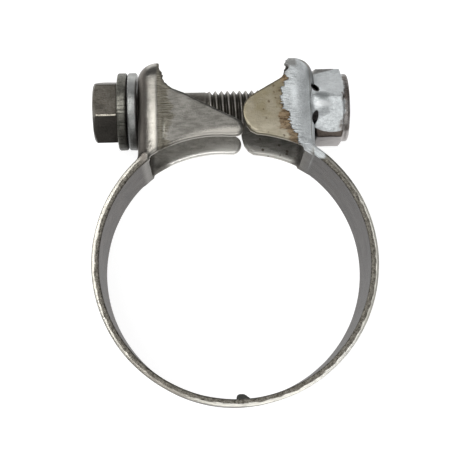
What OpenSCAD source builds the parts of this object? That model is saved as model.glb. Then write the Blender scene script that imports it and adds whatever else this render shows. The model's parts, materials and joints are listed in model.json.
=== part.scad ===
// Bolted band clamp for a round pipe, in millimetres.
// The pipe runs along Z, and the origin is on its axis, halfway across the band.
// +Y points to the ears, and +X runs along the bolt, from its head to the nut.

/* [Band] */
// Diameter of the pipe that the closed band holds
bore_d = 52.8; // [52:0.2:54]
// Thickness of the sheet that the band and both ears are pressed from
sheet_t = 1.6; // [1.4:0.1:1.8]
// Width of the band, along the pipe
band_w = 20; // [19.6:0.2:22]
// Depth of the lead-in bevel on the bore's far edge
bevel_d = 0.3; // [0.2:0.1:0.5]
// Width of the lead-in bevel along the pipe
bevel_w = 1.4; // [1.3:0.1:1.6]

/* [Ears] */
// Distance from the pipe's axis to the bolt's axis
bolt_y = 32.9; // [32.2:0.1:33]
// Distance from the middle plane to the outer face of the left ear's wall
left_wall_x = 18.85; // [18.6:0.05:19.2]
// Distance from the middle plane to the outer face of the right ear's wall
right_wall_x = 16.75; // [16.5:0.05:17.1]
// Height of the left ear's rolled top above the pipe's axis
left_top_y = 41.2; // [41:0.1:42]
// Height of the right ear's rolled top above the pipe's axis
right_top_y = 41.8; // [41.6:0.1:42.6]
// Outer radius of the ears' bends
bend_r = 4; // [3.6:0.1:4.2]
// Diameter of the bolt's hole in an ear's wall
hole_d = 9; // [8.8:0.1:9.4]
// Extra height of the left hole, so that the ear can lean as it opens
hole_slot = 1.4; // [1.3:0.1:1.6]

/* [Bolt] */
// Diameter of the bolt's thread
bolt_d = 7.9; // [7.8:0.02:7.96]
// Length of the bolt under its head
bolt_len = 45; // [43:0.5:46]
// Length of the plain shank under the head
shank_len = 18; // [12:0.5:20]
// Size of the bolt's head across its flats
head_af = 12; // [12:0.5:13]
// Height of the bolt's head
head_h = 5; // [4.6:0.1:5.4]
// Outer diameter of the washers
washer_d = 16; // [15:0.5:16]
// Thickness of each washer
washer_t = 1.9; // [1.6:0.1:1.9]
// Width of the chamfer round each washer
washer_bevel = 0.35; // [0.2:0.05:0.5]

/* [Nut] */
// Size of the weld nut across its flats, with its coat of paint
nut_af = 14.4; // [13:0.1:15]
// Height of the weld nut
nut_h = 7.3; // [6.5:0.1:7.5]

/* [Lug] */
// How far the locating lug stands into the bore
lug_h = 1; // [0.8:0.1:1.6]
// Thickness of the locating lug along the pipe
lug_t = 1.2; // [1:0.1:1.2]

/* [Hidden] */
$fn = 96;
cut = 1;                          // how far a cutter runs past what it cuts
touch = 0.02;                     // gap between faces that rest on each other
bore_r = bore_d / 2;
band_r = bore_r + sheet_t;
half_w = band_w / 2;
edge_r = bore_r + 0.06;           // the ears' lower edges stand just clear of the pipe
inner_bend_r = bend_r - sheet_t;
bolt_r = bolt_d / 2;
shank_r = bolt_r - 0.05;
washer_gap = 0.2;                 // play between the ear, the washers and the head
inner_washer_x = -left_wall_x - washer_gap - washer_t;
outer_washer_x = inner_washer_x - washer_gap - washer_t;
head_x = outer_washer_x - touch;
nut_x = right_wall_x + touch;
nut_turn = -0.8;                     // each hexagon has a corner this far from straight up
head_turn = 19.5;
circle_step = 4;

// Points on an arc, from angle a0 to angle a1
function arc(c, r, a0, a1, steps) =
    [for (i = [0 : steps]) let (a = a0 + (a1 - a0) * i / steps) c + r * [cos(a), sin(a)]];

// The lower edge of an ear, along the pipe, out to the wall at wall_x
function pipe_edge(from_angle, wall_x) =
    let (end = acos((wall_x - sheet_t / 2) / (bore_r + sheet_t / 2)) - 1.5)
    concat(arc([0, 0], edge_r, from_angle, end, ceil((from_angle - end) / circle_step)),
           [[wall_x + cut, sqrt(pow(band_r, 2) - pow(wall_x, 2))]]);

// Side view of the left ear, mirrored so that its wall is on the +X side
function left_outline() = concat(
    [[left_wall_x + cut, left_top_y + cut], [14.4, left_top_y + cut]],
    [[14.4, 40.2], [13.8, 38.3], [12.9, 36.1], [11.7, 35], [9.4, 34.05]],
    arc([-0.75, 27.9], 1.4, 63, 265, 8),
    pipe_edge(91, left_wall_x));

// Side view of the right ear
function right_outline() = concat(
    [[right_wall_x + cut, right_top_y + cut], [12, right_top_y + cut]],
    [[12, 41.4], [11.1, 39.8], [11.5, 38.8], [10.1, 36.85]],
    arc([6.45, 29.85], 4.25, 120, 190, 6),
    [[2.9, 27.2]],
    pipe_edge(80, right_wall_x));

// A block with its +X end rounded on every edge, and its long top edges rounded
module round_block(x, top, r, half) {
    reach = 40;
    start = x - r - reach;
    translate([start, 0, -half]) cube([reach, top - r, 2 * half]);
    translate([start, 0, r - half]) cube([reach + r, top - r, 2 * (half - r)]);
    translate([start, 0, r - half]) cube([reach, top, 2 * (half - r)]);
    translate([x - r, top - r, r - half]) cylinder(h = 2 * (half - r), r = r);
    for (side = [-1, 1]) translate([x - r, 0, side * (half - r)]) {
        rotate([-90, 0, 0]) cylinder(h = top - r, r = r);
        translate([-reach, top - r, 0]) rotate([0, 90, 0]) cylinder(h = reach, r = r);
        translate([0, top - r, 0]) sphere(r = r);
    }
}

// One pressed ear: an end wall with a rolled top, and a gusset at each side
module ear(wall_x, top, outline) {
    intersection() {
        difference() {
            round_block(wall_x, top, bend_r, half_w);
            round_block(wall_x - sheet_t, top - sheet_t, inner_bend_r, half_w - sheet_t);
        }
        translate([0, 0, -half_w - cut]) linear_extrude(band_w + 2 * cut) polygon(outline);
    }
}

// A stretch of the band, with the bevel on its far inner edge
module band_arc(from_angle, to_angle) {
    rotate([0, 0, from_angle]) rotate_extrude(angle = to_angle - from_angle, $fn = 180)
        polygon([
            [bore_r, half_w], [band_r, half_w], [band_r, -half_w],
            [bore_r + bevel_d, -half_w], [bore_r, bevel_w - half_w],
        ]);
}

// The angle at which an ear's wall turns out of the band
function root_angle(wall_x) = acos((wall_x - sheet_t / 2) / (bore_r + sheet_t / 2));

// The bolt's hole through a wall, drawn out upwards by slot
module wall_hole(wall_x, slot = 0) {
    translate([wall_x - 2 * sheet_t, bolt_y, 0]) {
        rotate([0, 90, 0]) cylinder(h = 3 * sheet_t, d = hole_d);
        if (slot > 0) {
            translate([0, slot, 0]) rotate([0, 90, 0]) cylinder(h = 3 * sheet_t, d = hole_d);
            translate([0, 0, -hole_d / 2]) cube([3 * sheet_t, slot, hole_d]);
        }
    }
}

// Left half of the strip, which ends at the foot
module band_left() {
    color("#7d766e") mirror([1, 0, 0]) {
        band_arc(-90, root_angle(left_wall_x));
        difference() {
            ear(left_wall_x, left_top_y, left_outline());
            wall_hole(left_wall_x, hole_slot);
        }
    }
}

// Right half of the strip
module band_right() {
    color("#857c70") {
        band_arc(-90, root_angle(right_wall_x));
        difference() {
            ear(right_wall_x, right_top_y, right_outline());
            wall_hole(right_wall_x);
        }
    }
}

// Small dark tooth on the bevel at the far edge of the bore, which stops the pipe
module locating_lug() {
    tip = bore_r - lug_h;
    color("#3a3834") intersection() {
        translate([0, 0, -half_w]) linear_extrude(lug_t) polygon([
            [-0.05, -band_r], [0, -tip - 0.5], [0.45, -tip], [1.35, -tip], [1.9, -tip - 0.25],
            [3.4, -bore_r], [3.6, -band_r],
        ]);
        rotate_extrude($fn = 180) polygon([
            [0, -half_w], [bore_r + bevel_d - touch, -half_w],
            [bore_r - touch, bevel_w - half_w], [0, bevel_w - half_w],
        ]);
    }
}

// Hexagonal prism along X with chamfered corners, one corner turned from +Z towards -Y
module hex_prism(af, h, turn, chamfer_low, chamfer_high) {
    corner_r = af / 2 / cos(30);
    rim_r = corner_r * 0.93;
    slope = (corner_r - rim_r) / tan(60) + 0.25;
    rotate([turn, 0, 0]) rotate([0, 90, 0]) intersection() {
        cylinder(h = h, r = corner_r, $fn = 6);
        rotate_extrude() polygon([
            [0, 0], [chamfer_low ? rim_r : corner_r + cut, 0],
            [corner_r + cut * 0.02, chamfer_low ? slope : 0],
            [corner_r + cut * 0.02, chamfer_high ? h - slope : h],
            [chamfer_high ? rim_r : corner_r + cut * 0.02, h], [0, h],
        ]);
    }
}

// Hex bolt with a plain shank, a thread that is shown as a plain cylinder, and a chamfered tip
module bolt() {
    tip_bevel = 1;
    color("#5a544c") translate([head_x, bolt_y, 0]) {
        translate([-head_h, 0, 0]) hex_prism(head_af, head_h, head_turn, true, false);
        rotate([0, 90, 0]) rotate_extrude() polygon([
            [0, -cut], [shank_r, -cut], [shank_r, shank_len], [bolt_r, shank_len],
            [bolt_r, bolt_len - tip_bevel], [bolt_r - tip_bevel, bolt_len], [0, bolt_len],
        ]);
    }
}

// Flat washer on the bolt, with its low face at x
module washer(x) {
    outer = washer_d / 2;
    translate([x, bolt_y, 0]) rotate([0, 90, 0]) rotate_extrude() polygon([
        [4.25, 0], [outer - washer_bevel, 0], [outer, washer_bevel],
        [outer, washer_t - washer_bevel], [outer - washer_bevel, washer_t], [4.25, washer_t],
    ]);
}

module outer_washer() {
    color("#4c4a44") washer(outer_washer_x);
}

module inner_washer() {
    color("#9a9c98") washer(inner_washer_x);
}

// Hexagonal nut that is welded to the right ear's wall, round the bolt's end
module weld_nut() {
    color("#aab0b2") translate([nut_x, bolt_y, 0]) difference() {
        hex_prism(nut_af, nut_h, nut_turn, true, true);
        translate([-cut, 0, 0]) rotate([0, 90, 0]) cylinder(h = nut_h + 2 * cut, r = bolt_r + 0.05);
    }
}

// Weld bead in the corner between the nut and the wall, on the side of the given sign
module weld_bead(side) {
    bead_r = 1.5;
    corner_z = nut_af / 2 / cos(30);
    color("#b4b9ba") difference() {
        translate([right_wall_x + 0.9, bolt_y, side * (corner_z - 0.3)]) {
            rotate([-90, 0, 0]) translate([0, 0, -1.4]) cylinder(h = 2.8, r = bead_r);
            for (end = [-1.4, 1.4]) translate([0, end, 0]) sphere(r = bead_r);
        }
        translate([right_wall_x - 3 + touch / 2, 0, -half_w]) cube([3, 50, band_w]);
        translate([nut_x - 1, bolt_y, 0])
            hex_prism(nut_af + touch, nut_h + 1, nut_turn, false, true);
    }
}

module weld_bead_front() {
    weld_bead(1);
}

module weld_bead_back() {
    weld_bead(-1);
}

band_left();
band_right();
locating_lug();
bolt();
outer_washer();
inner_washer();
weld_nut();
weld_bead_front();
weld_bead_back();
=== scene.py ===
import json
import math
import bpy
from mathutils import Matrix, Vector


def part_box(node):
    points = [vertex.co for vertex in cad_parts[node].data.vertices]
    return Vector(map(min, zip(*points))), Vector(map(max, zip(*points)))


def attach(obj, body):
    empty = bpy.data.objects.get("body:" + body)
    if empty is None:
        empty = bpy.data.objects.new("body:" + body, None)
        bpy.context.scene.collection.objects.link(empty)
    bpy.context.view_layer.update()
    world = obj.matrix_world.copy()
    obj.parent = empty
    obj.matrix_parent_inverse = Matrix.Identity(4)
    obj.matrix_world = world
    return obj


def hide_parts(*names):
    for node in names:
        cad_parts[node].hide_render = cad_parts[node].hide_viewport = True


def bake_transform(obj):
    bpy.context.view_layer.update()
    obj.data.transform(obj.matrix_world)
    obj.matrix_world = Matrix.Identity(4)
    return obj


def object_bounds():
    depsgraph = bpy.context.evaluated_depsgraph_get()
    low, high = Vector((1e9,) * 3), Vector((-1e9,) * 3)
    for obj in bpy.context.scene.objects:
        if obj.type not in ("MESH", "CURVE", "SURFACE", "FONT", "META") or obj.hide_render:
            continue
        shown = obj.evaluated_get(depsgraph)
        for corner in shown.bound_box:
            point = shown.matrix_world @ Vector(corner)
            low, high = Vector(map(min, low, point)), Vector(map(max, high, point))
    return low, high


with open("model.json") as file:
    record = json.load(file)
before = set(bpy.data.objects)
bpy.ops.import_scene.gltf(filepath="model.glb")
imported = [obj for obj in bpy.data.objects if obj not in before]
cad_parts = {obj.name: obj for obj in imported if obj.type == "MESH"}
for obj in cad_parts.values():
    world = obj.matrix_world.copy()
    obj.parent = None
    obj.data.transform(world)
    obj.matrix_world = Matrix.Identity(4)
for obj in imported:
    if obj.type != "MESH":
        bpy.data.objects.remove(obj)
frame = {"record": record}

from types import SimpleNamespace

import bpy
import numpy as np
from mathutils import Matrix, Vector

cad_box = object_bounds()

# ---------------------------------------------------------------- sizes, in millimetres
MM = 0.001


def corners(node):
    """Lowest and highest corner of a CAD node, in millimetres."""
    low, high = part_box(node)
    return np.array(low) / MM, np.array(high) / MM


mounts = {m["name"]: m for m in frame["record"]["mounts"]}
BORE_R = mounts["pipe_seat"]["dims"]["r_mm"]
BAND_R = -corners("band_left")[0][1]
SHEET = BAND_R - BORE_R
HALF_W = corners("band_left")[1][2]
WASHER_R = 8.0
BOLT_Y = corners("inner_washer")[0][1] + WASHER_R
# the ears' end walls, measured outwards from the middle to their outer faces
LEFT_WALL = -corners("inner_washer")[1][0] - 0.2
RIGHT_WALL = corners("weld_nut")[0][0] - 0.02
LEFT_TOP = corners("band_left")[1][1]
RIGHT_TOP = corners("band_right")[1][1]
ROOT_BEND_R, BEND_R = 1.1, 4.0
EDGE_R = BORE_R + 0.06
HOLE_R = 4.5
NUT_X0, NUT_X1 = corners("weld_nut")[0][0], corners("weld_nut")[1][0]
NUT_FLATS, NUT_TURN = 14.44, -0.8
COLLAR_R, COLLAR_LENGTH = 6.98, 1.35
HEAD_X0 = corners("bolt")[0][0]
HEAD_X1 = corners("outer_washer")[0][0] - 0.02
HEAD_FLATS, HEAD_TURN = 12, 19.5
HEAD_CORNER_R = 6.85        # out to the head's rounded corners
BEAD_Y = BOLT_Y - 0.75
PAINT_EDGE = 10.75          # x where the zinc paint on the right ear starts, on average
SKIN = 0.035                # surfaces are drawn in by this, so that their unevenness stays in the CAD box
MARGIN = 1e-5               # metres that every piece keeps free inside the CAD box
# gaps beside the front weld bead: out from the wall, up from the bolt's axis, half sizes, and lean
RECESSES = ((0.25, 2.35, 0.78, 1.0, 0.35), (0.1, -3.65, 0.66, 1.25, -0.22))


# ---------------------------------------------------------------- distance functions
def smooth(v, low, high):
    """0 below low, 1 above high and an S-curve between."""
    t = np.clip((v - low) / (high - low), 0, 1)
    return t * t * (3 - 2 * t)


def soft_min(a, b, k):
    """Inside either, with a fillet about k wide where they meet."""
    h = np.clip(0.5 + 0.5 * (b - a) / k, 0, 1)
    return b * (1 - h) + a * h - k * h * (1 - h)


def soft_max(a, b, k):
    return -soft_min(-a, -b, k)


def round_both(a, b, r):
    """Inside both, with the edge between them rounded to radius r."""
    corner = np.sqrt(np.maximum(a + r, 0) ** 2 + np.maximum(b + r, 0) ** 2)
    return np.minimum(np.maximum(a, b), -r) + corner


def ripple(x, y, z, size, seed):
    """Smooth noise from -1 to 1, with lumps about size wide."""
    rng = np.random.default_rng(seed)
    total = 0
    for _ in range(5):
        d = rng.normal(size=3)
        d *= rng.uniform(0.7, 1.5) * math.pi / size / np.linalg.norm(d)
        total = total + np.sin(d[0] * x + d[1] * y + d[2] * z + rng.uniform(0, 6.28))
    return total / 3.2


def polygon(x, y, points):
    """Signed distance to a closed outline in the XY plane."""
    best, sign = None, 1.0
    for (ax, ay), (bx, by) in zip(points, points[1:] + points[:1]):
        ex, ey, px, py = bx - ax, by - ay, x - ax, y - ay
        t = np.clip((px * ex + py * ey) / (ex * ex + ey * ey), 0, 1)
        d = (px - ex * t) ** 2 + (py - ey * t) ** 2
        best = d if best is None else np.minimum(best, d)
        crosses = ((y >= ay) != (y >= by)) & ((ex * py - ey * px > 0) == (by > ay))
        sign = np.where(crosses, -sign, sign)
    return sign * np.sqrt(best)


def arc(cx, cy, r, a0, a1, steps):
    """Points round a centre, from angle a0 to a1 in degrees."""
    angles = np.radians(np.linspace(a0, a1, steps + 1))
    return [(cx + r * math.cos(a), cy + r * math.sin(a)) for a in angles]


def root_angle(wall):
    """Where the strip turns out of the ring into an ear's end wall, in degrees above the X axis."""
    return math.degrees(math.acos((wall - SHEET / 2) / (BORE_R + SHEET / 2)))


def pipe_edge(start, wall, dip):
    """The ear's lower edge, which the closed clamp lets spring inwards by dip at the tip."""
    end = root_angle(wall) - 1.5
    points = []
    for share in np.linspace(0, 1, 13):
        a = math.radians(start + (end - start) * share)
        r = EDGE_R - dip * (1 - share) ** 1.6 + 0.5 * share ** 2
        points.append((r * math.cos(a), r * math.sin(a)))
    return points + [(wall + 1, math.sqrt(BAND_R ** 2 - wall ** 2))]


def left_outline(tip, dip):
    """Side view of the left ear, mirrored so that its wall is on the +X side."""
    return ([(LEFT_WALL + 1, LEFT_TOP + 1), (14.4, LEFT_TOP + 1), (14.4, 40.2), (13.8, 38.3),
             (12.9, 36.1), (11.7, 35), (9.4, 34.05)] + tip + pipe_edge(89, LEFT_WALL, dip))


def right_outline(shift):
    """Side view of the right ear, with its blunt tip moved along X by shift."""
    blunt = arc(6.45, 29.85, 4.25, 120, 190, 8) + [(2.75, 27.2), (3.6, 26.0)]
    tip = [(px + shift, py) for px, py in blunt]
    return ([(RIGHT_WALL + 1, RIGHT_TOP + 1), (12, RIGHT_TOP + 1), (11.7, 41.4), (10.9, 39.9),
             (11.5, 38.8), (10.1, 36.85)] + tip + pipe_edge(79, RIGHT_WALL, 0.7))


# the front and back gussets have sprung inwards by different amounts
LEFT_OUTLINES = (left_outline(arc(-0.72, 26.72, 1.76, 117, 262, 12), 1.5),
                 left_outline(arc(-0.35, 27.5, 2.05, 112, 262, 12), 0.95))
RIGHT_OUTLINES = right_outline(0), right_outline(0.2)


def ear(x, y, z, wall, top, outlines, slot, ragged_from):
    """One pressed ear, mirrored if need be so that its wall is on the +X side."""
    bend = ROOT_BEND_R + (BEND_R - ROOT_BEND_R) * smooth(y, 18.6, 25.2)
    qx, qy, qz = x - (wall - bend), y - (top - bend), np.abs(z) - (HALF_W - bend)
    out = np.sqrt(np.maximum(qx, 0) ** 2 + np.maximum(qy, 0) ** 2 + np.maximum(qz, 0) ** 2)
    block = out + np.minimum(np.maximum(np.maximum(qx, qy), qz), 0) - bend
    shell = np.abs(block + SHEET / 2) - SHEET / 2
    torn = smooth(y, ragged_from, ragged_from + 1.4) * smooth(wall - x, 1.5, 3)
    ragged = torn * (0.26 * ripple(x, y, z, 1.1, 3) + 0.16 * ripple(x, y, z, 0.55, 4) + 0.1)
    plan = np.where(z > 0, polygon(x, y, outlines[0]), polygon(x, y, outlines[1])) + ragged
    rolled = 1 - smooth(np.sqrt(x * x + y * y), 27.3, 28.8)
    body = round_both(shell, plan * (1 - 0.25 * rolled), 0.24 + 0.42 * rolled)
    reach = np.clip(y, BOLT_Y, BOLT_Y + slot)
    hole = np.sqrt((y - reach) ** 2 + z ** 2) - HOLE_R
    return round_both(body, -hole, 0.2)


def left_ear(x, y, z):
    """The left ear, with a groove and a scratch on its front."""
    d = ear(-x, y, z, LEFT_WALL, LEFT_TOP, LEFT_OUTLINES, 1.4, 34.8)
    groove = np.exp(-(((x + 14.55) / 0.28) ** 2)) * smooth(z, 8.5, 9.3) * smooth(37.5 - y, 0, 1.5)
    scratch = np.exp(-(((x + 13.35) / 0.3) ** 2)) * smooth(z, 8.5, 9.3) * smooth(30 - y, 0, 1)
    return d + 0.1 * groove + 0.08 * scratch


def recesses(x, y, z):
    """Gaps between the wall and the nut, above and below the front weld bead."""
    best = None
    for out, up, half_x, half_y, lean in RECESSES:
        dx, dy = x - RIGHT_WALL - out, y - BOLT_Y - up
        across, rise, into = (dx + lean * dy) / half_x, dy / half_y, (z - 7.6) / 2.6
        d = (np.sqrt(across ** 2 + rise ** 2 + into ** 2) - 1) * half_x
        best = d if best is None else np.minimum(best, d)
    return best


def right_ear(x, y, z):
    """The right ear, with the gaps beside the weld bead."""
    d = ear(x, y, z, RIGHT_WALL, RIGHT_TOP, RIGHT_OUTLINES, 0, 37.2)
    return soft_max(d, -recesses(x, y, z), 0.15)


def ring(x, y, z):
    """The ring, with rounded rims, a bevel on the far edge of its bore, and its ends inside the ears."""
    rho = np.sqrt(x * x + y * y)
    r = 0.28        # of the rims' edges
    qx = np.abs(rho - (BORE_R + BAND_R) / 2) - SHEET / 2 + r
    qz = np.abs(z) - HALF_W + r
    d = np.sqrt(np.maximum(qx, 0) ** 2 + np.maximum(qz, 0) ** 2)
    d = d + np.minimum(np.maximum(qx, qz), 0) - r
    bevel = (-(rho - BORE_R - 0.3) * 1.4 - (z + HALF_W) * 0.3) / 1.432
    d = soft_max(d, bevel, 0.12)
    overlap = 3     # degrees that the ring runs on inside the ear
    left, right = (math.radians(root_angle(wall) + overlap) for wall in (LEFT_WALL, RIGHT_WALL))
    past = np.where(x > 0, y * math.cos(right) - x * math.sin(right),
                    y * math.cos(left) + x * math.sin(left))
    return np.maximum(d, past)


def strip(x, y, z):
    """The whole strip, slightly uneven, with fillets at the ears' roots."""
    band = ring(x, y, z)
    both = np.minimum(soft_min(band, left_ear(x, y, z), 1.0), soft_min(band, right_ear(x, y, z), 1.0))
    return both + SKIN + 0.02 * ripple(x, y, z, 2.6, 8)


# ---------------------------------------------------------------- meshing
def surface_net(distance, low, high, step, polish=2):
    """Quads on the surface where distance is zero: (vertices in mm, faces).

    One vertex goes into each grid cell that the surface cuts, at the mean of the cuts in the cell's edges,
    and is then moved along the slope onto the surface, polish times over."""
    axes = [np.arange(a - step, b + 2 * step, step) for a, b in zip(low, high)]
    grid = np.meshgrid(*axes, indexing="ij", sparse=True)
    shape = tuple(len(a) for a in axes)
    field = np.broadcast_to(distance(*grid), shape).astype(np.float32)
    inside = field < 0
    count = np.zeros(tuple(n - 1 for n in shape), np.int8)
    shifts = [(i, j, k) for i in (0, 1) for j in (0, 1) for k in (0, 1)]
    for i, j, k in shifts:
        count += inside[i:shape[0] - 1 + i, j:shape[1] - 1 + j, k:shape[2] - 1 + k]
    live = (count > 0) & (count < 8)
    cell = np.argwhere(live)
    index = np.full(live.shape, -1, np.int64)
    index[live] = np.arange(len(cell))
    value = {s: field[cell[:, 0] + s[0], cell[:, 1] + s[1], cell[:, 2] + s[2]] for s in shifts}
    total, hits = np.zeros((len(cell), 3)), np.zeros(len(cell))
    for a in shifts:
        for axis in range(3):
            if a[axis]:
                continue
            b = tuple(1 if n == axis else a[n] for n in range(3))
            va, vb = value[a], value[b]
            cut = (va < 0) != (vb < 0)
            t = np.where(cut, va / np.where(cut, va - vb, 1), 0)
            point = np.tile(np.array(a, float), (len(cell), 1))
            point[:, axis] = t
            total += point * cut[:, None]
            hits += cut
    origin = np.array([a[0] for a in axes])
    points = origin + step * (cell + total / hits[:, None])
    for _ in range(polish):
        here = distance(*points.T)
        slope = np.empty_like(points)
        for axis in range(3):
            d = np.zeros(3)
            d[axis] = 0.04
            slope[:, axis] = (distance(*(points + d).T) - distance(*(points - d).T)) / 0.08
        move = -here[:, None] * slope / np.maximum((slope ** 2).sum(1), 0.05)[:, None]
        points = points + np.clip(move, -step / 2, step / 2)
    faces = []
    for axis in range(3):
        u, v = (axis + 1) % 3, (axis + 2) % 3
        near = [slice(1, n - 1) for n in shape]
        far = list(near)
        near[axis], far[axis] = slice(0, shape[axis] - 1), slice(1, shape[axis])
        a, b = inside[tuple(near)], inside[tuple(far)]
        where = np.argwhere(a != b)
        flip = b[a != b]
        offset = np.ones(3, int)
        offset[axis] = 0
        where = where + offset
        ring_of = []
        for du, dv in ((0, 0), (-1, 0), (-1, -1), (0, -1)):
            w = where.copy()
            w[:, u] += du
            w[:, v] += dv
            ring_of.append(index[w[:, 0], w[:, 1], w[:, 2]])
        quad = np.stack(ring_of, 1)
        quad[flip] = quad[flip][:, ::-1]
        faces.append(quad)
    return points, np.concatenate(faces)


def largest(faces):
    """The biggest connected part of a set of faces."""
    label = np.arange(faces.max() + 1)
    while True:
        lowest = label[faces].min(1)
        merged = label.copy()
        for column in faces.T:
            np.minimum.at(merged, column, lowest)
        if (merged == label).all():
            break
        label = merged
    parts, sizes = np.unique(label[faces[:, 0]], return_counts=True)
    return faces[label[faces[:, 0]] == parts[sizes.argmax()]]


def make(name, points, faces):
    """A smooth-shaded mesh object from points in millimetres."""
    faces = np.asarray(faces)
    used, flat = np.unique(faces, return_inverse=True)
    faces = flat.reshape(faces.shape)
    mesh = bpy.data.meshes.new(name)
    inside_box = np.clip(np.asarray(points)[used] * MM, np.array(cad_box[0]) + MARGIN,
                         np.array(cad_box[1]) - MARGIN)
    mesh.from_pydata(inside_box.tolist(), [], faces.tolist())
    mesh.polygons.foreach_set("use_smooth", [True] * len(mesh.polygons))
    mesh.update()
    piece = bpy.data.objects.new(name, mesh)
    bpy.context.scene.collection.objects.link(piece)
    return piece


def turned(x, radius, closed):
    """A skin round the bolt's axis. x and radius are (stations, around) arrays.

    A closed skin joins its last station to its first."""
    stations, around = x.shape
    angle = np.linspace(0, 2 * np.pi, around, endpoint=False)
    points = np.stack([x, BOLT_Y + radius * np.cos(angle), radius * np.sin(angle)], -1).reshape(-1, 3)
    i, j = np.meshgrid(np.arange(stations if closed else stations - 1), np.arange(around), indexing="ij")
    k, m = (i + 1) % stations, (j + 1) % around
    faces = np.stack([i * around + j, i * around + m, k * around + m, k * around + j], -1)
    return points, faces.reshape(-1, 4)


def end_caps(points, around):
    """Triangles between the rims of an open turned skin and a hub in the middle of each end."""
    here = np.arange(around)
    after = (here + 1) % around
    first_hub = np.full(around, len(points))
    last = len(points) - around
    triangles = [np.stack([after, here, first_hub], 1),
                 np.stack([last + here, last + after, first_hub + 1], 1)]
    hubs = [[points[0, 0], BOLT_Y, 0], [points[-1, 0], BOLT_Y, 0]]
    return np.concatenate([points, hubs]), np.concatenate(triangles)


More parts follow.
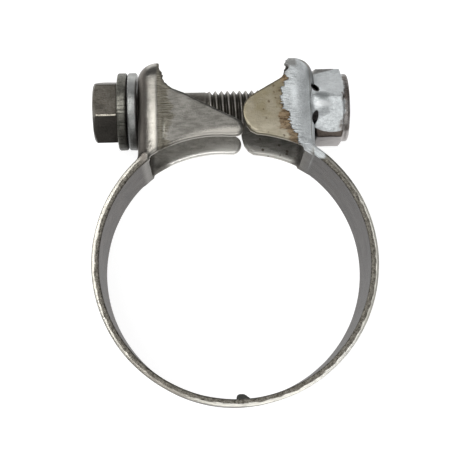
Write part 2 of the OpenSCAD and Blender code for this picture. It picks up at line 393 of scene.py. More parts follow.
# ---------------------------------------------------------------- material graphs
class Graph:
    """Builds one procedural material. Positions are in millimetres, in the CAD frame."""

    def __init__(self, name):
        self.material = bpy.data.materials.new(name)
        self.material.use_nodes = True
        self.tree = self.material.node_tree
        self.tree.nodes.clear()
        self.shader = self.add("ShaderNodeBsdfPrincipled")
        output = self.add("ShaderNodeOutputMaterial")
        self.tree.links.new(self.shader.outputs[0], output.inputs["Surface"])
        place = self.add("ShaderNodeTexCoord").outputs["Object"]
        self.place = self.stretched(place, (1 / MM, 1 / MM, 1 / MM))
        parts = self.add("ShaderNodeSeparateXYZ")
        self.put(parts.inputs[0], self.place)
        self.x, self.y, self.z = parts.outputs

    def add(self, kind, **settings):
        node = self.tree.nodes.new(kind)
        for key, value in settings.items():
            setattr(node, key, value)
        return node

    def put(self, socket, value):
        if isinstance(value, bpy.types.NodeSocket):
            self.tree.links.new(value, socket)
        elif hasattr(value, "__len__") and socket.type == "RGBA" and len(value) == 3:
            socket.default_value = (*value, 1)
        else:
            socket.default_value = value

    def math(self, kind, *values):
        node = self.add("ShaderNodeMath", operation=kind)
        for socket, value in zip(node.inputs, values):
            self.put(socket, value)
        return node.outputs[0]

    def stretched(self, place, factors):
        """A place with each axis multiplied by its own factor."""
        node = self.add("ShaderNodeVectorMath", operation="MULTIPLY")
        self.put(node.inputs[0], place)
        self.put(node.inputs[1], factors)
        return node.outputs[0]

    def join(self, x, y, z):
        node = self.add("ShaderNodeCombineXYZ")
        for socket, value in zip(node.inputs, (x, y, z)):
            self.put(socket, value)
        return node.outputs[0]

    def times(self, *values):
        total = values[0]
        for value in values[1:]:
            total = self.math("MULTIPLY", total, value)
        return total

    def plus(self, *values):
        total = values[0]
        for value in values[1:]:
            total = self.math("ADD", total, value)
        return total

    def minus(self, a, b):
        return self.math("SUBTRACT", a, b)

    def size(self, value):
        """The value without its sign."""
        return self.math("ABSOLUTE", value)

    def most(self, *values):
        total = values[0]
        for value in values[1:]:
            total = self.math("MAXIMUM", total, value)
        return total

    def length(self, a, b):
        return self.math("SQRT", self.plus(self.times(a, a), self.times(b, b)))

    def oval(self, dx, dy, half_x, half_y):
        """0 in an ellipse's middle, from which dx and dy are measured, 1 on it and more beyond."""
        across, rise = self.times(dx, 1 / half_x), self.times(dy, 1 / half_y)
        return self.plus(self.times(across, across), self.times(rise, rise))

    def step(self, value, low, high):
        """0 below low and 1 above high, smoothly; the other way round if low is the greater."""
        node = self.add("ShaderNodeMapRange", interpolation_type="SMOOTHSTEP")
        ends = (low, high, 0.0, 1.0) if low < high else (high, low, 1.0, 0.0)
        for socket, v in zip(node.inputs[:5], (value, *ends)):
            self.put(socket, v)
        return node.outputs[0]

    def window(self, value, start, full, wane, end):
        """1 from full to wane, and 0 below start and above end."""
        return self.times(self.step(value, start, full), self.step(value, end, wane))

    def sway(self, noise, width):
        """Noise about 0.5 turned into an offset about 0, width times as large."""
        return self.times(self.minus(noise, 0.5), width)

    def remap(self, value, low, high):
        """low where value is 0 and high where it is 1."""
        return self.math("MULTIPLY_ADD", value, high - low, low)

    def mix(self, share, a, b):
        node = self.add("ShaderNodeMix", data_type="RGBA")
        self.put(node.inputs[0], share)
        self.put(node.inputs[6], a)
        self.put(node.inputs[7], b)
        return node.outputs[2]

    def tones(self, value, low, high, pair):
        """The pair's first colour where value is below low, and its second above high."""
        return self.mix(self.step(value, low, high), *pair)

    def blend(self, share, a, b):
        """A number between a and b."""
        node = self.add("ShaderNodeMix", data_type="FLOAT")
        for socket, value in zip((node.inputs[0], node.inputs[2], node.inputs[3]), (share, a, b)):
            self.put(socket, value)
        return node.outputs[0]

    def noise(self, scale, detail=3.0, rough=0.55, stretch=(1, 1, 1), place=None, twist=0.0):
        """Noise about 0.5, with scale lumps to a millimetre along each axis times stretch."""
        node = self.add("ShaderNodeTexNoise")
        place = self.place if place is None else place
        self.put(node.inputs["Vector"], self.stretched(place, stretch))
        for key, value in (("Scale", scale), ("Detail", detail), ("Roughness", rough),
                           ("Distortion", twist)):
            self.put(node.inputs[key], value)
        return node.outputs["Fac"]

    def spots(self, scale, size, stretch=(1, 1, 1)):
        """1 in scattered round spots, 0 between them."""
        node = self.add("ShaderNodeTexVoronoi", feature="F1")
        self.put(node.inputs["Vector"], self.stretched(self.place, stretch))
        self.put(node.inputs["Scale"], scale)
        return self.step(node.outputs["Distance"], size, size * 0.55)

    def bump(self, height, depth):
        """Bump of the given depth in millimetres, chained onto any bump before it."""
        node = self.add("ShaderNodeBump")
        self.put(node.inputs["Strength"], 1.0)
        self.put(node.inputs["Distance"], depth * MM)
        self.put(node.inputs["Height"], height)
        if self.shader.inputs["Normal"].links:
            self.put(node.inputs["Normal"], self.shader.inputs["Normal"].links[0].from_socket)
        self.put(self.shader.inputs["Normal"], node.outputs[0])

    def finish(self, colour, rough, metallic=1.0):
        self.put(self.shader.inputs["Base Color"], colour)
        self.put(self.shader.inputs["Roughness"], rough)
        self.put(self.shader.inputs["Metallic"], metallic)
        return self.material


# ---------------------------------------------------------------- colours
# A pair runs from the tone where its noise is low to the tone where it is high.
DRAWN = (0.034, 0.028, 0.0245), (0.074, 0.062, 0.053)
PIT = (0.018, 0.015, 0.013)
PRESSED = (0.105, 0.10, 0.089), (0.18, 0.173, 0.157)
INNER_FACE_PAINTED_LIGHT = (0.50, 0.485, 0.44), (0.74, 0.72, 0.67)
RUBBED_AND_HIGHLIGHT = (0.42, 0.40, 0.36)
INNER_LIP_HIGHLIGHT = (0.76, 0.745, 0.70)
CREVICE_SHADE = (0.035, 0.031, 0.027)
BENT = (0.12, 0.108, 0.094), (0.20, 0.182, 0.162)
PAINTED_BEND_HIGHLIGHT = (0.42, 0.40, 0.355)
SCORED = (0.105, 0.095, 0.072), (0.225, 0.21, 0.172)
SCRATCH = (0.50, 0.48, 0.42)
TORN = (0.07, 0.055, 0.035), (0.17, 0.145, 0.11)
STRAW = (0.235, 0.21, 0.155), (0.185, 0.16, 0.102)
PALE_STRAW = (0.33, 0.30, 0.232)
SPECK = (0.08, 0.055, 0.035)
FRECKLE = (0.09, 0.065, 0.04)
SOOT = (0.06, 0.034, 0.017), (0.25, 0.18, 0.11)
SHEARED = (0.055, 0.05, 0.04), (0.30, 0.28, 0.24)
BURNISHED = (0.54, 0.52, 0.465), (0.33, 0.31, 0.272)
RIM_HIGHLIGHT, RIM_LOW_HIGHLIGHT = (0.82, 0.80, 0.72), (1.0, 0.98, 0.91)
RIM_SHADE = (0.2, 0.188, 0.165)
ZINC_ON_STRIP = (0.46, 0.482, 0.486), (0.72, 0.75, 0.755)
ZINC_FURROW = (0.20, 0.212, 0.215)
ZINC_TOP = (0.16, 0.155, 0.14), (0.34, 0.335, 0.32)
ZINC_BEND_SHADE = (0.14, 0.147, 0.149)
GAP_SHADE = (0.012, 0.01, 0.009)
ZINC_ON_NUT = (0.42, 0.442, 0.447), (0.68, 0.71, 0.715)
ZINC_UPPER_LIGHT = (0.92, 0.95, 0.955)
WELD_SHADE, WELD_HIGHLIGHT = (0.22, 0.235, 0.237), (0.95, 0.97, 0.97)
NUT_STEEL = (0.27, 0.256, 0.245), (0.13, 0.11, 0.096)
NUT_UNDERSIDE = (0.40, 0.375, 0.365), (0.50, 0.475, 0.465)
NUT_DARK_BAND = (0.10, 0.083, 0.072)
NUT_BORE = (0.06, 0.055, 0.05)
BOLT = (0.085, 0.077, 0.064), (0.165, 0.152, 0.13)
THREAD_GROOVE, THREAD_CREST = (0.085, 0.08, 0.07), (0.42, 0.40, 0.37)
HEAD_SHADE, HEAD_RIDGE_HIGHLIGHT = (0.03, 0.028, 0.026), (0.55, 0.52, 0.44)
DARK_WASHER = (0.105, 0.103, 0.088), (0.235, 0.23, 0.20)
ZINC_WASHER = (0.235, 0.238, 0.228), (0.36, 0.365, 0.355)
LUG = (0.03, 0.03, 0.028), (0.11, 0.11, 0.10)


def scaled(colour, share):
    return tuple(share * c for c in colour)


def recess_shade(g):
    """1 inside the gaps beside the front weld bead, where painted shade goes."""
    total = 0.0
    for out, up, half_x, half_y, lean in RECESSES:
        dy = g.minus(g.y, BOLT_Y + up)
        dx = g.plus(g.minus(g.x, RIGHT_WALL + out), g.times(dy, lean))
        total = g.most(total, g.step(g.oval(dx, dy, half_x, half_y), 1.15, 0.75))
    return g.times(total, g.step(g.z, 4.5, 5.2))


# ---------------------------------------------------------------- the strip's steel
def strip_places(g):
    """Noises, and masks that say where on the strip a point is."""
    m = SimpleNamespace()
    m.rho = g.length(g.x, g.y)
    m.turn = g.math("ARCTAN2", g.y, g.x)
    m.side = g.size(g.x)
    m.around = g.math("ARCTAN2", g.y, m.side)
    # the left ear ends a little to the right of the middle, and further right low down
    parting = g.plus(g.times(g.step(g.y, 29.2, 28.8), 0.75), 1.6)
    m.left = g.step(g.minus(g.x, parting), 0.1, -0.1)
    m.right = g.minus(1.0, m.left)
    root = g.remap(m.left, math.radians(root_angle(RIGHT_WALL)), math.radians(root_angle(LEFT_WALL)))
    m.past_root = g.minus(m.around, root)
    m.ear = g.step(m.past_root, -0.045, 0.03)
    m.ring = g.minus(1.0, m.ear)
    m.left_ear, m.right_ear = g.times(m.ear, m.left), g.times(m.ear, m.right)

    m.fine = g.noise(4.0, 4, 0.6)
    m.broad = g.noise(0.35, 3, 0.5)
    m.wrapped = g.join(g.times(m.turn, BORE_R + 0.6), g.times(m.rho, 2.0), g.z)
    m.streak = g.noise(1.0, 3, 0.6, (0.12, 1.0, 3.2), m.wrapped)
    m.flow = g.noise(1.0, 3, 0.6, (0.5, 1.6, 1.6))
    return m


def drawn_ring(g, m):
    """The ring's faces, drawn and pitted along the strip, with painted shade that darkens the right side.
    """
    tone = g.plus(g.times(m.streak, 0.55), g.times(m.broad, 0.45))
    colour = g.tones(tone, 0.36, 0.64, DRAWN)
    pits = g.times(g.spots(0.9, 0.34, (1, 1, 0.6)), g.step(g.noise(0.35, 2), 0.5, 0.62))
    colour = g.mix(g.times(pits, 0.6), colour, PIT)
    # painted shade: the ring darkens towards its right side, where less light falls
    colour = g.mix(g.times(g.step(g.x, 5.0, 20.0), 0.3), colour, (0.0, 0.0, 0.0))
    return colour, g.remap(m.streak, 0.36, 0.56)


def pressed_ears(g, m, colour, rough):
    """The ears' faces: darker outside and duller inside, worn along the lower edge; painted light makes the
    inner faces lighter, painted highlights lie along the lower edges, and painted shade darkens the corners
    at the roots.
    """
    tone = g.plus(g.times(m.flow, 0.5), g.times(m.fine, 0.25), g.times(m.broad, 0.25))
    colour = g.mix(m.ear, colour, g.tones(tone, 0.38, 0.62, PRESSED))
    rough = g.blend(m.ear, rough, g.remap(m.fine, 0.28, 0.46))

    # painted light: the inner faces are painted lighter than the outer ones
    inner = g.times(m.ear, g.step(g.z, 9.3, 8.6), g.step(m.side, 17.5, 16.0))
    colour = g.mix(g.times(inner, g.remap(m.left, 0.2, 0.9)), colour, g.tones(tone, 0.38, 0.62, INNER_FACE_PAINTED_LIGHT))
    rough = g.blend(inner, rough, 0.58)

    from_edge = g.plus(m.rho, g.sway(m.fine, 1.6))
    # painted highlight along the lower edge, which is also worn bright there
    rubbed_and_highlight = g.times(m.ear, g.step(from_edge, 27.3, 26.2), g.step(m.side, 15.2, 14.2))
    colour = g.mix(g.times(rubbed_and_highlight, 0.7), colour, RUBBED_AND_HIGHLIGHT)
    # painted highlight along the lower edge of the inner faces
    lip = g.times(inner, g.step(from_edge, 27.9, 27.3), g.step(m.side, 14.5, 12.5),
                  g.remap(m.left, 0.5, 1.0))
    colour = g.mix(lip, colour, INNER_LIP_HIGHLIGHT)
    rough = g.blend(lip, rough, 0.4)

    # painted shade in the corner where the ring turns up into each ear
    corner = g.times(g.step(m.past_root, -0.16, -0.02), g.step(g.y, 25.5, 23.0),
                     g.step(g.size(g.z), 9.6, 9.0), g.window(m.side, 12.0, 14.0, 17.4, 17.6))
    return g.mix(g.times(corner, 0.6), colour, CREVICE_SHADE), rough


def left_marks(g, m, colour, rough):
    """Left ear: dark outer bend, a painted highlight stripe, scored band, a scratch and a brown torn edge.
    """
    inset = g.plus(g.x, LEFT_WALL)
    front = g.step(g.z, 8.5, 9.3)
    bend = g.times(m.left_ear, g.step(g.plus(inset, g.sway(m.broad, 2.0)), 2.65, 1.25))
    colour = g.mix(bend, colour, g.mix(m.fine, *BENT))

    # painted highlight: a light stripe on the front of the bend, where it catches the light
    worn = g.plus(inset, g.sway(g.noise(1.0, 3, 0.6, (1, 0.5, 1)), 1.4))
    bend_highlight_mask = g.times(m.left_ear, g.window(worn, 1.45, 3.55, 3.95, 4.45), g.step(g.z, 8.2, 9.0),
                       g.step(g.y, 39.0, 35.0), g.remap(g.step(g.y, 33.5, 29.0), 0.35, 0.8))
    colour = g.mix(bend_highlight_mask, colour, PAINTED_BEND_HIGHLIGHT)

    m.die = g.noise(1.0, 3, 0.65, (0.35, 4.5, 1.2))
    ragged = g.plus(inset, g.sway(g.noise(0.6, 4, 0.65, (0.2, 0.7, 1)), 6.5))
    m.scored = g.times(g.step(inset, 3.85, 4.35), g.step(ragged, 7.15, 6.25), m.left_ear,
                       g.step(g.z, 7.5, 8.5))
    colour = g.mix(g.times(m.scored, 0.9), colour, g.tones(m.die, 0.35, 0.65, SCORED))
    rough = g.blend(m.scored, rough, 0.5)

    lean = g.plus(g.x, g.times(g.minus(g.y, 26.0), -0.08), 13.5)
    scratch = g.times(m.left_ear, g.step(g.size(lean), 0.34, 0.05), g.window(g.y, 24.6, 25.4, 27.2, 28.0),
                      g.step(m.fine, 0.3, 0.5), front)
    colour = g.mix(g.times(scratch, 0.8), colour, SCRATCH)

    beside_tear = g.plus(g.x, g.times(g.y, 0.62))
    torn = g.times(m.left_ear, g.step(beside_tear, 9.6, 10.6), g.step(g.y, 34.4, 36.5))
    return g.mix(g.times(torn, 0.7), colour, g.mix(m.fine, *TORN)), rough


def right_marks(g, m, colour, rough):
    """Right ear: straw heat tint, specks and freckles, and scorch beside the paint."""
    outside = g.step(g.z, 8.9, 9.4)
    tint = g.tones(g.plus(m.broad, g.times(m.fine, 0.3)), 0.5, 0.8, STRAW)
    tint = g.mix(g.times(g.step(g.y, 30.5, 26.0), g.step(m.broad, 0.35, 0.6)), tint, PALE_STRAW)
    colour = g.mix(g.times(m.right_ear, outside, 0.95), colour, tint)
    specks = g.times(g.spots(0.75, 0.30), m.right_ear, g.step(g.noise(0.9, 1), 0.46, 0.6))
    colour = g.mix(g.times(specks, 0.75), colour, SPECK)
    freckles = g.times(g.spots(1.7, 0.2), m.right_ear, g.step(g.noise(0.5, 1), 0.52, 0.64), outside)
    colour = g.mix(g.times(freckles, 0.5), colour, FRECKLE)

    # the paint's brushed edge wanders, bulges inwards beside the bolt and draws back at the foot
    wander = g.sway(g.noise(0.55, 5, 0.75, (0.35, 1.15, 1)), 5.2)
    bulge = g.times(g.window(g.y, 29.7, 30.5, 34.6, 35.2), 0.85)
    drawn_back = g.times(g.step(g.y, 29, 24.0), 2.4)
    m.over = g.minus(g.minus(g.plus(g.x, wander, bulge), drawn_back), PAINT_EDGE)

    reach = g.plus(m.over, g.sway(g.noise(0.5, 3), 3.2), g.times(g.step(g.y, 30.5, 29.0), 0.9))
    clear = g.window(g.y, 31.0, 32.2, 35.0, 36.2)
    scorch = g.times(g.remap(clear, 1.0, 0.2), g.step(reach, -1.55, -0.45), m.right_ear, outside)
    soot = g.noise(1.3, 4, 0.7, (0.5, 1.3, 1))
    colour = g.mix(g.times(scorch, 0.85), colour, g.tones(soot, 0.4, 0.6, SOOT))
    return colour, g.blend(scorch, rough, 0.5)


def sheared_rims(g, m, colour, rough):
    """The ring's two rims: sheared rough on the bore's side, burnished outside, with painted highlights and
    painted shade that change round the ring.
    """
    rim = g.times(g.step(g.size(g.z), 9.62, 9.86), m.ring)
    depth = g.math("MULTIPLY_ADD", m.rho, 1 / SHEET, -BORE_R / SHEET)
    uneven = g.sway(g.noise(1.0, 3, 0.6, (0.5, 1, 1), m.wrapped), 0.6)
    upper_left = g.times(g.step(m.turn, 2.3, 3.0), 0.08)
    burnished = g.step(g.plus(depth, uneven, upper_left), 0.52, 0.66)

    # painted shade: the burnished band is darker on the lower left
    low_left_shade = g.window(m.turn, -2.5, -2.3, -1.95, -1.7)
    patch = g.plus(g.times(g.noise(0.22, 3, 0.6), 0.8), g.times(low_left_shade, 0.13), g.times(m.fine, 0.25))
    bright = g.tones(patch, 0.5, 0.7, BURNISHED)
    # painted highlights on the right and lower right of the rim, and painted shade on its upper right
    right_side_highlight = g.window(m.turn, -1.5, -1.1, 0.4, 0.55)
    bright = g.mix(g.times(right_side_highlight, 0.9), bright, RIM_HIGHLIGHT)
    low_right_highlight = g.window(m.turn, -1.9, -1.5, -0.62, -0.42)
    low_share = g.remap(g.step(m.turn, -1.3, -1.0), 0.45, 0.95)
    bright = g.mix(g.times(low_right_highlight, low_share), bright, RIM_LOW_HIGHLIGHT)
    upper_right_shade = g.window(m.turn, 0.5, 0.6, 1.0, 1.2)
    bright = g.mix(g.times(upper_right_shade, 0.8), bright, RIM_SHADE)

    grains = g.plus(g.times(g.noise(5.5, 3, 0.7), 0.45), g.times(g.noise(1.7, 4, 0.7), 0.55))
    colour = g.mix(rim, colour, g.mix(burnished, g.tones(grains, 0.36, 0.66, SHEARED), bright))
    return colour, g.blend(rim, rough, g.blend(burnished, 0.6, 0.42))


def zinc_cover(g, m, colour, rough):
    """Zinc paint on the right ear, with the brush's ridges at its edge, and a dab at the root; painted
    shade darkens the paint high on the bend and in the gaps beside the weld bead.
    """
    skin = g.most(g.step(g.z, 8.45, 8.6), g.step(g.x, RIGHT_WALL - 0.9, RIGHT_WALL - 0.75),
                  g.step(g.y, RIGHT_TOP - 1.1, RIGHT_TOP - 0.9))
    m.painted = g.times(g.step(m.over, 0.0, 0.2), m.right_ear, skin, g.step(g.y, 20.3, 20.8),
                        g.step(g.z, -9.7, 4.0))
    dab = g.times(g.window(g.x, 15.9, 16.3, 18.0, 18.6), g.step(g.y, 19.8, 20.4), g.step(g.z, 9.3, 9.7))
    m.cover = g.most(m.painted, dab)
    m.near_edge = g.step(m.over, 2.85, 0.25)
    m.ridges = g.noise(1.0, 3, 0.6, (0.6, 3.0, 1.0))

    paint = g.tones(g.plus(g.times(m.fine, 0.5), g.times(m.broad, 0.5)), 0.35, 0.65, ZINC_ON_STRIP)
    furrow = g.times(m.near_edge, g.step(m.ridges, 0.44, 0.32), g.step(g.noise(0.4, 2), 0.38, 0.56))
    paint = g.mix(g.times(furrow, 0.65), paint, ZINC_FURROW)
    top = g.times(g.step(g.y, RIGHT_TOP - 3.2, RIGHT_TOP - 2.2), g.step(g.x, 13.6, 12.8))
    paint = g.mix(g.times(top, 0.8), paint, g.mix(m.fine, *ZINC_TOP))
    # painted shade on the paint high up on the bend, which turns away from the light
    bend = g.times(g.step(g.x, 14.6, 15.9), g.step(g.y, 34.5, 38))
    paint = g.mix(g.times(bend, 0.95), paint, ZINC_BEND_SHADE)

    colour = g.mix(m.cover, colour, paint)
    rough = g.blend(m.cover, rough, g.remap(m.fine, 0.4, 0.56))
    # painted shade in the gaps beside the weld bead
    return g.mix(recess_shade(g), colour, GAP_SHADE), rough


def strip_steel():
    """Worn sheet steel: sheared rims, die marks, heat tint, and zinc paint by the nut, with painted light,
    highlights and shade on the ring, ears and paint.
    """
    g = Graph("strip_steel")
    m = strip_places(g)
    colour, rough = drawn_ring(g, m)
    for layer in (pressed_ears, left_marks, right_marks, sheared_rims, zinc_cover):
        colour, rough = layer(g, m, colour, rough)
    g.bump(g.times(g.minus(m.die, 0.5), m.scored), 0.16)
    g.bump(g.times(m.ridges, m.near_edge, m.painted), 0.3)
    g.bump(g.plus(g.times(m.fine, 0.4), m.flow, g.times(m.cover, 0.8)), 0.06)
    g.bump(g.times(m.streak, m.ring), 0.035)
    return g.finish(colour, rough, g.blend(m.cover, 1.0, 0.55))


# ---------------------------------------------------------------- the other materials
def zinc_paint():
    """Brushed-on zinc paint over a nut and its welds, worn through at the far end, with painted light on
    the upper facet, painted shade and a painted highlight on the front weld, and painted shade in the gaps.
    """
    g = Graph("zinc_paint")
    out, up = g.minus(g.x, RIGHT_WALL), g.minus(g.y, BOLT_Y)
    fine = g.noise(3.2, 4, 0.6)
    broad = g.noise(0.5, 3)
    brush = g.noise(1.0, 3, 0.6, (1.0, 2.6, 1.0), twist=0.4)
    coat = g.plus(g.times(fine, 0.3), g.times(broad, 0.35), g.times(brush, 0.35))
    colour = g.tones(coat, 0.38, 0.6, ZINC_ON_NUT)
    # painted light: the nut's upper facet is painted lighter
    lit_upper_facet = g.times(g.step(up, 0.2, 1.6), g.step(g.z, 4.0, 5.5))
    colour = g.mix(g.times(lit_upper_facet, 0.5), colour, ZINC_UPPER_LIGHT)
    # painted shade on the weld bridge above the middle, and a painted highlight below it
    for at, half_height, tone, share in ((0.55, 0.95, WELD_SHADE, 0.8), (-1.2, 0.6, WELD_HIGHLIGHT, 0.7)):
        spread = g.plus(g.oval(g.minus(out, 1.5), g.minus(up, at), 1.7, half_height), g.sway(fine, 0.9))
        colour = g.mix(g.times(g.step(spread, 1.5, 0.2), g.step(g.z, 4.5, 5.5), share), colour, tone)

    # bare steel: at the far end, under a bowed line and above a slanting one
    low_part = g.most(g.minus(-2.0, up), 0.0)
    wear = g.plus(g.minus(out, 5.6), g.times(low_part, 0.3), g.sway(g.noise(0.5, 3), 4.0))
    from_bow = g.minus(out, 3.6)
    bowed = g.minus(g.times(from_bow, from_bow, 0.07), 6.25)
    below = g.step(g.minus(up, bowed), 0.1, -0.1)
    slanted = g.plus(g.times(out, 0.3), 5.6)
    above = g.times(g.step(g.minus(up, slanted), -0.1, 0.3), g.step(out, 4.6, 4.2))
    bare = g.most(g.step(wear, 0.0, 0.8), below, g.times(above, 0.75))
    steel = g.tones(g.plus(g.times(broad, 0.6), g.times(fine, 0.4)), 0.4, 0.62, NUT_STEEL)
    steel = g.mix(g.times(below, g.step(g.z, 4.4, 3.6)), steel, g.mix(fine, *NUT_UNDERSIDE))
    steel = g.mix(g.times(below, g.step(g.z, 3.4, 4.2)), steel, NUT_DARK_BAND)
    colour = g.mix(bare, colour, steel)

    # painted shade in the gaps beside the weld bead, and low down beside the wall
    gap = g.most(recess_shade(g), g.times(below, g.step(out, 0.75, 0.35)))
    colour = g.mix(gap, colour, GAP_SHADE)
    colour = g.mix(g.step(g.length(up, g.z), 4.5, 4.1), colour, NUT_BORE)
    g.bump(g.plus(g.times(fine, 0.5), brush), 0.10)
    return g.finish(colour, g.remap(fine, 0.36, 0.52), g.blend(bare, 0.6, 1.0))


def bolt_steel():
    """Dull oxidised bolt steel, darker in the thread's grooves, with painted shade and a painted highlight
    on the head.
    """
    g = Graph("bolt_steel")
    radius = g.length(g.minus(g.y, BOLT_Y), g.z)
    fine = g.noise(3.6, 4, 0.65)
    broad = g.noise(0.45, 3)
    grain = g.noise(1.0, 3, 0.6, (0.8, 5.0, 5.0))
    tone = g.plus(g.times(fine, 0.35), g.times(broad, 0.35), g.times(grain, 0.3))
    colour = g.tones(tone, 0.38, 0.62, BOLT)
    threaded = g.step(g.x, -5.6, -5.0)
    colour = g.mix(g.times(threaded, g.step(radius, 3.6, 3.3), 0.8), colour, THREAD_GROOVE)
    colour = g.mix(g.times(threaded, g.step(radius, 3.65, 3.85), 0.7), colour, THREAD_CREST)

    # the head's front corner: a painted highlight along it, where it is also worn bright, and painted shade
    # below it
    on_head = g.step(g.x, HEAD_X1, HEAD_X1 - 0.4)
    turn = math.radians(HEAD_TURN)
    corner_y, corner_z = BOLT_Y - HEAD_CORNER_R * math.sin(turn), HEAD_CORNER_R * math.cos(turn)
    below = g.times(on_head, g.step(g.y, corner_y + 0.05, corner_y - 0.25))
    colour = g.mix(g.times(below, 0.75), colour, HEAD_SHADE)
    ridge = g.times(on_head, g.step(g.size(g.minus(g.y, corner_y)), 0.2, 0.08),
                    g.step(g.z, corner_z - 0.5, corner_z - 0.2), g.step(g.x, HEAD_X0 + 0.6, HEAD_X0 + 1.1))
    colour = g.mix(g.times(ridge, g.step(fine, 0.35, 0.5)), colour, HEAD_RIDGE_HIGHLIGHT)
    g.bump(g.plus(g.times(fine, 0.6), grain), 0.06)
    return g.finish(colour, g.remap(fine, 0.34, 0.52))


def washer_steel(name, tones, ticks):
    """Plated washer with a painted lit band in front, painted shade on its lower side and painted light on
    its upper side. ticks, from 0 to 1, is how strongly its rim is scored.
    """
    g = Graph(name)
    dark, light = tones
    up = g.minus(g.y, BOLT_Y)
    fine = g.noise(3.4, 4, 0.6)
    broad = g.noise(0.5, 3)
    unrolled = g.join(g.x, g.times(g.math("ARCTAN2", up, g.z), WASHER_R), 0.0)
    rolled = g.noise(1.0, 2, 0.5, (1.2, 1.0, 1.0), unrolled)
    cuts = g.noise(1.0, 1, 0.5, (0.15, 3.4, 1.0), unrolled)
    tone = g.plus(g.times(fine, 0.4), g.times(broad, 0.3), g.times(rolled, 0.3))
    colour = g.tones(tone, 0.38, 0.62, tones)
    mark = g.times(g.step(cuts, 0.56, 0.66), ticks)
    colour = g.mix(mark, colour, scaled(dark, 0.35))
    # painted shade on the lower side
    colour = g.mix(g.times(g.step(up, -1.5, -3.5), 0.4 + 0.3 * ticks), colour, scaled(dark, 0.3))
    # painted light on the upper side
    lit_high_side = g.window(up, 1.5, 3.5, 5.5, 7.0)
    colour = g.mix(g.times(lit_high_side, 0.55 * (1 - ticks)), colour, scaled(light, 1.8))
    glint = g.times(g.window(up, -2.4, -2.0, 0.6, 1.8), g.step(g.z, 4.0, 6.0))
    colour = g.mix(g.times(glint, 0.22 * ticks), colour, scaled(light, 1.6))
    g.bump(g.plus(fine, g.times(mark, -1.2)), 0.07)
    return g.finish(colour, g.remap(fine, 0.34, 0.52))


def lug_black():
    """Dull dark finish of the locating lug."""
    g = Graph("lug_black")
    fine = g.noise(5.0, 3)
    g.bump(fine, 0.08)
    return g.finish(g.mix(fine, *LUG), g.remap(fine, 0.5, 0.7), 0.4)


# ---------------------------------------------------------------- the strip
FOOT = 8.0          # half the length of the stretch round the hinge at the ring's foot, made as a piece of its own
low, high = corners("band_left")[0], corners("band_right")[1]
points, faces = surface_net(strip, low, high, 0.25)
middle = points[faces].mean(1)
nearer_left = left_ear(*middle.T) < right_ear(*middle.T)
is_left = np.where(middle[:, 1] > 20, nearer_left, middle[:, 0] < 0)
is_foot = (middle[:, 1] < 0) & (np.abs(middle[:, 0]) < FOOT)
steel = strip_steel()
shares = {"strip_left": is_left & ~is_foot, "strip_right": ~is_left & ~is_foot, "strip_foot": is_foot}
pieces = {name: make(name, points, faces[share]) for name, share in shares.items()}
for piece in pieces.values():
    piece.data.materials.append(steel)
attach(pieces["strip_left"], "left_half")
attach(pieces["strip_right"], "right_half")
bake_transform(pieces["strip_foot"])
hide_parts("band_left")
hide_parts("band_right")
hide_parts("band_left", "band_right")


# ---------------------------------------------------------------- locating lug
def lug(x, y, z):
    """A low tooth, steep on the left and sloping on the right."""
    tip = 1.25 - BORE_R
    outline = [(-0.08, -27.2), (-0.02, tip - 0.8)] + arc(0.75, tip - 0.75, 0.75, 175, 95, 4)
    outline += arc(1.2, tip - 1.2, 1.2, 85, 50, 4) + [(3.35, -BORE_R - 0.05), (3.5, -27.2)]
    side = polygon(x, y, outline)
    slab = np.abs(z + HALF_W - 0.6) - 0.58
    rho = np.sqrt(x * x + y * y)
    body = round_both(round_both(side, slab, 0.2), rho - BORE_R - 0.25, 0.05)
    return body + 0.03 * ripple(x, y, z, 0.6, 5)


low, high = corners("locating_lug")
tooth = make("lug", *surface_net(lug, low - (0.2, 0, 0), high + (0, 0.4, 0), 0.08))
tooth.data.materials.append(lug_black())
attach(tooth, "right_half")
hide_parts("locating_lug")


# ---------------------------------------------------------------- hexagons
def hexagon(x, y, z, x0, x1, flats, turn, chamfers, soft):
    """Hexagonal prism along X. Each end's chamfer is (rim radius, length along X), or None."""
    v, w = y - BOLT_Y, z
    d = None
    for k in range(3):
        a = math.radians(30 + 60 * k + turn)
        slab = np.abs(w * math.cos(a) - v * math.sin(a)) - flats / 2
        d = slab if d is None else round_both(d, slab, soft)
    rho = np.sqrt(v * v + w * w)
    corner = flats / 2 / math.cos(math.pi / 6)
    for at, out, chamfer in ((x0, -1, chamfers[0]), (x1, 1, chamfers[1])):
        beyond = (x - at) * out
        d = round_both(d, beyond, soft)
        if chamfer:
            rim, run = chamfer
            rise = corner - rim
            slope = ((rho - rim) * run + beyond * rise) / math.hypot(run, rise)
            d = round_both(d, slope, soft * 0.7)
    return d


SLANT = math.sqrt(0.5)      # makes the sum of two distances square to each other a distance


def nut(x, y, z):
    """The nut with its round collar at the far end, its bore, and the gaps beside the weld bead."""
    body = hexagon(x, y, z, NUT_X0, NUT_X1 - COLLAR_LENGTH, NUT_FLATS, NUT_TURN,
                   ((7.5, 0.7), (7.2, 0.4)), 0.22)
    rho = np.sqrt((y - BOLT_Y) ** 2 + z * z)
    collar = round_both(rho - COLLAR_R, np.abs(x - NUT_X1 + 2) - 2, 0.25)
    collar = round_both(collar, (rho - COLLAR_R + 0.28 + x - NUT_X1) * SLANT, 0.3)
    body = soft_max(soft_min(body, collar, 0.35), -recesses(x, y, z), 0.15)
    body = round_both(body, 4.02 - rho, 0.1)
    mouth = (4.7 - rho + (x - NUT_X1)) * SLANT
    return round_both(body, mouth, 0.08) + SKIN + 0.03 * ripple(x, y, z, 1.6, 12)


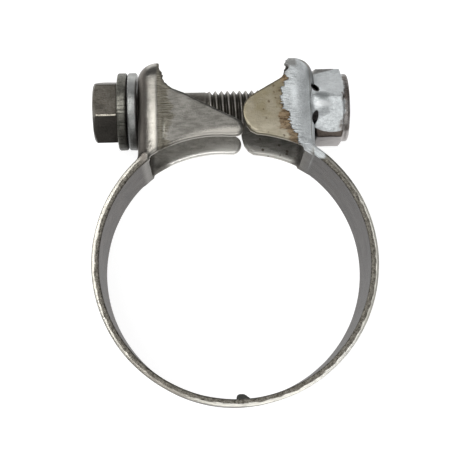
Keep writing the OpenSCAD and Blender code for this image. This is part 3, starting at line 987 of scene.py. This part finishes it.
def bead(x, y, z, side):
    """A weld bead between the nut's corner and the wall, flared where it meets them."""
    across, rise, into = (x - RIGHT_WALL - 0.7) / 1.6, (y - BEAD_Y) / 1.5, (z - side * 7.0) / 1.05
    blob = (np.sqrt(across ** 2 + rise ** 2 + into ** 2) - 1) * 1.2
    core = soft_min(blob, nut(x, y, z), 1.8)
    return soft_min(core, right_ear(x, y, z), 1.2) + 0.03 * ripple(x, y, z, 1.1, 21 + side)


paint = zinc_paint()
low, high = corners("weld_nut")
nut_piece = make("nut", *surface_net(nut, low - 0.4, high + (0, 0.4, 0.4), 0.16))
nut_piece.data.materials.append(paint)
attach(nut_piece, "right_half")
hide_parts("weld_nut")
for name, side in (("weld_bead_front", 1), ("weld_bead_back", -1)):
    low, high = corners(name)
    points, faces = surface_net(lambda x, y, z: bead(x, y, z, side), low - 2, high + 1.2, 0.14)
    x, y, z = points[faces].mean(1).T
    proud = np.minimum(nut(x, y, z), right_ear(x, y, z)) > 0.03
    near = (np.abs(z) > 5.2) & (np.abs(z) < 9.6) & (np.abs(y - BEAD_Y) < 3.4)
    near &= (x > RIGHT_WALL - 1.4) & (x < RIGHT_WALL + 4.6)
    blob = make(name + "_shape", points, largest(faces[proud & near]))
    blob.data.materials.append(paint)
    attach(blob, "right_half")
    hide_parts(name)


# ---------------------------------------------------------------- bolt
def head(x, y, z):
    """The hex head, chamfered and dished at its free end."""
    body = hexagon(x, y, z, HEAD_X0, HEAD_X1, HEAD_FLATS, HEAD_TURN, ((5.6, 0.8), None), 0.16)
    rho = np.sqrt((y - BOLT_Y) ** 2 + z * z)
    dish = 0.35 - (x - HEAD_X0) - 0.12 * np.maximum(rho - 2.6, 0) ** 2
    return soft_max(body, dish, 0.15) + SKIN + 0.03 * ripple(x, y, z, 1.8, 31)


PITCH = 1.25
TIP_X = corners("bolt")[1][0]
THREAD_X = HEAD_X1 + 18.5
SHANK_R, MINOR_R, MAJOR_R = 3.72, 3.2, 3.94


def shaft_skin():
    """The plain shank and the helical thread: (points, faces, points round the axis)."""
    around = 120
    fine_from = THREAD_X - 1.4
    along = np.concatenate([[HEAD_X1 - 0.5], np.arange(HEAD_X1, fine_from, 0.8),
                            np.arange(fine_from, TIP_X, 0.09), [TIP_X]])
    x = np.broadcast_to(along[:, None], (len(along), around))
    phase = (x / PITCH - np.arange(around) / around) % 1.0
    flank = np.clip(1.12 - 2.5 * np.abs(phase - 0.5), 0, 1)
    threaded = smooth(x, THREAD_X - 0.9, THREAD_X + 0.9)
    radius = SHANK_R * (1 - threaded) + (MINOR_R + (MAJOR_R - MINOR_R) * flank) * threaded
    radius = np.minimum(radius, 3.0 + (TIP_X - x) * 0.95)
    return *turned(x, radius, closed=False), around


points, faces, around = shaft_skin()
shaft = make("shaft", points, faces)
caps = make("caps", *end_caps(points, around))
head_piece = make("head", *surface_net(head, (HEAD_X0, BOLT_Y - 7, -7), (HEAD_X1, BOLT_Y + 7, 7), 0.14))
bolt_pieces = [head_piece, shaft, caps]
with bpy.context.temp_override(active_object=head_piece, selected_editable_objects=bolt_pieces,
                               selected_objects=bolt_pieces):
    bpy.ops.object.join()
head_piece.name = "hex_bolt"
head_piece.data.materials.append(bolt_steel())
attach(head_piece, "bolt")
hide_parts("bolt")


# ---------------------------------------------------------------- washers
def washer_section(low, high, bevel):
    """Points round a washer's section, (x, radius), with rounded corners."""
    inner, outer = 4.27, WASHER_R - 0.02
    section = []
    for cx, cr, a0 in ((low + bevel, inner + bevel, 180), (high - bevel, inner + bevel, 270),
                       (high - bevel, outer - bevel, 0), (low + bevel, outer - bevel, 90)):
        for a in np.radians(np.linspace(a0, a0 + 90, 5)):
            section.append((cx + bevel * math.cos(a), cr + bevel * math.sin(a)))
    return np.array(section)


def washer(name, node, body, slot, tones, ticks, bevel, seed):
    """A washer with rounded corners and a slightly uneven rim."""
    (x0, _, _), (x1, _, _) = corners(node)
    section = washer_section(x0 + 0.02, x1 - 0.02, bevel)
    steps = 180
    a = np.linspace(0, 2 * np.pi, steps, endpoint=False)
    x, r = (np.repeat(section[:, n:n + 1], steps, 1) for n in (0, 1))
    uneven = 0.03 + 0.025 * ripple(4 * x, WASHER_R * np.cos(a), WASHER_R * np.sin(a), 1.5, seed)
    points, faces = turned(x, r - smooth(r, 7.0, 7.9) * uneven, closed=True)
    piece = make(name, points, faces[:, ::-1])
    piece.data.materials.append(washer_steel(slot, tones, ticks))
    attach(piece, body)
    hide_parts(node)


washer("washer_dark", "outer_washer", "outer_washer", "dark_washer_steel", DARK_WASHER,
       ticks=0.8, bevel=0.36, seed=41)
washer("washer_zinc", "inner_washer", "inner_washer", "zinc_washer_steel", ZINC_WASHER,
       ticks=0.0, bevel=0.4, seed=42)


# ---------------------------------------------------------------- floor, light and camera
FLOOR = 3.0         # half the floor's side, in metres
floor_mesh = bpy.data.meshes.new("floor")
floor_mesh.from_pydata([(-FLOOR, -FLOOR, 0), (FLOOR, -FLOOR, 0), (FLOOR, FLOOR, 0), (-FLOOR, FLOOR, 0)], [],
                       [(0, 1, 2, 3)])
floor = bpy.data.objects.new("floor", floor_mesh)
floor.location.z = cad_box[0].z
bpy.context.scene.collection.objects.link(floor)
g = Graph("floor_white")
g.finish((0.35, 0.35, 0.35), 1.0, 0.0)
g.put(g.shader.inputs["Specular IOR Level"], 0.0)
g.put(g.shader.inputs["Emission Color"], (1, 1, 1))
g.put(g.shader.inputs["Emission Strength"], 0.9)
floor_mesh.materials.append(g.material)

# a dim room for the metal to reflect, behind a white backdrop
world = bpy.data.worlds.new("studio")
world.use_nodes = True
tree = world.node_tree
backdrop = tree.nodes["Background"]
backdrop.inputs["Color"].default_value = (1, 1, 1, 1)
backdrop.inputs["Strength"].default_value = 1.0
room = tree.nodes.new("ShaderNodeBackground")
room.inputs["Color"].default_value = (0.97, 0.98, 1.0, 1)
room.inputs["Strength"].default_value = 0.22
chosen = tree.nodes.new("ShaderNodeMixShader")
tree.links.new(tree.nodes.new("ShaderNodeLightPath").outputs["Is Camera Ray"], chosen.inputs[0])
tree.links.new(room.outputs[0], chosen.inputs[1])
tree.links.new(backdrop.outputs[0], chosen.inputs[2])
tree.links.new(chosen.outputs[0], tree.nodes["World Output"].inputs[0])
bpy.context.scene.world = world


def lamp(name, toward, distance, size, radiance):
    """A soft lamp that lies toward a direction from the object. Distance and size are in metres."""
    data = bpy.data.lights.new(name, "AREA")
    data.shape = "RECTANGLE"
    data.size, data.size_y = size
    data.energy = radiance * math.pi * size[0] * size[1]
    piece = bpy.data.objects.new(name, data)
    bpy.context.scene.collection.objects.link(piece)
    place = Vector(toward).normalized() * distance
    piece.location = place
    piece.rotation_euler = (-place).to_track_quat("-Z", "Y").to_euler()


lamp("front", (0, -0.66, 0.75), 0.5, (0.5, 0.2), 3.2)
lamp("left", (-0.5, 0.2, 0.83), 0.5, (0.12, 0.40), 6.5)
lamp("above", (-0.12, 0.22, 0.95), 0.75, (0.5, 0.5), 1.6)

data = bpy.data.cameras.new("camera")
data.sensor_width = 36
data.lens = 92.45
data.clip_start, data.clip_end = 0.01, 20
camera = bpy.data.objects.new("camera", data)
bpy.context.scene.collection.objects.link(camera)
forward = Vector((0.01476, 0.16287, -0.98654)).normalized()
up = Vector((0.02142, 0.98637, 0.16316))
right = forward.cross(up).normalized()
up = right.cross(forward)
camera.matrix_world = Matrix.Translation(Vector((-0.00516, -0.02952, 0.23209))) @ Matrix(
    (right, up, -forward)).transposed().to_4x4()
bpy.context.scene.camera = camera
bpy.context.scene.view_settings.view_transform = "Standard"
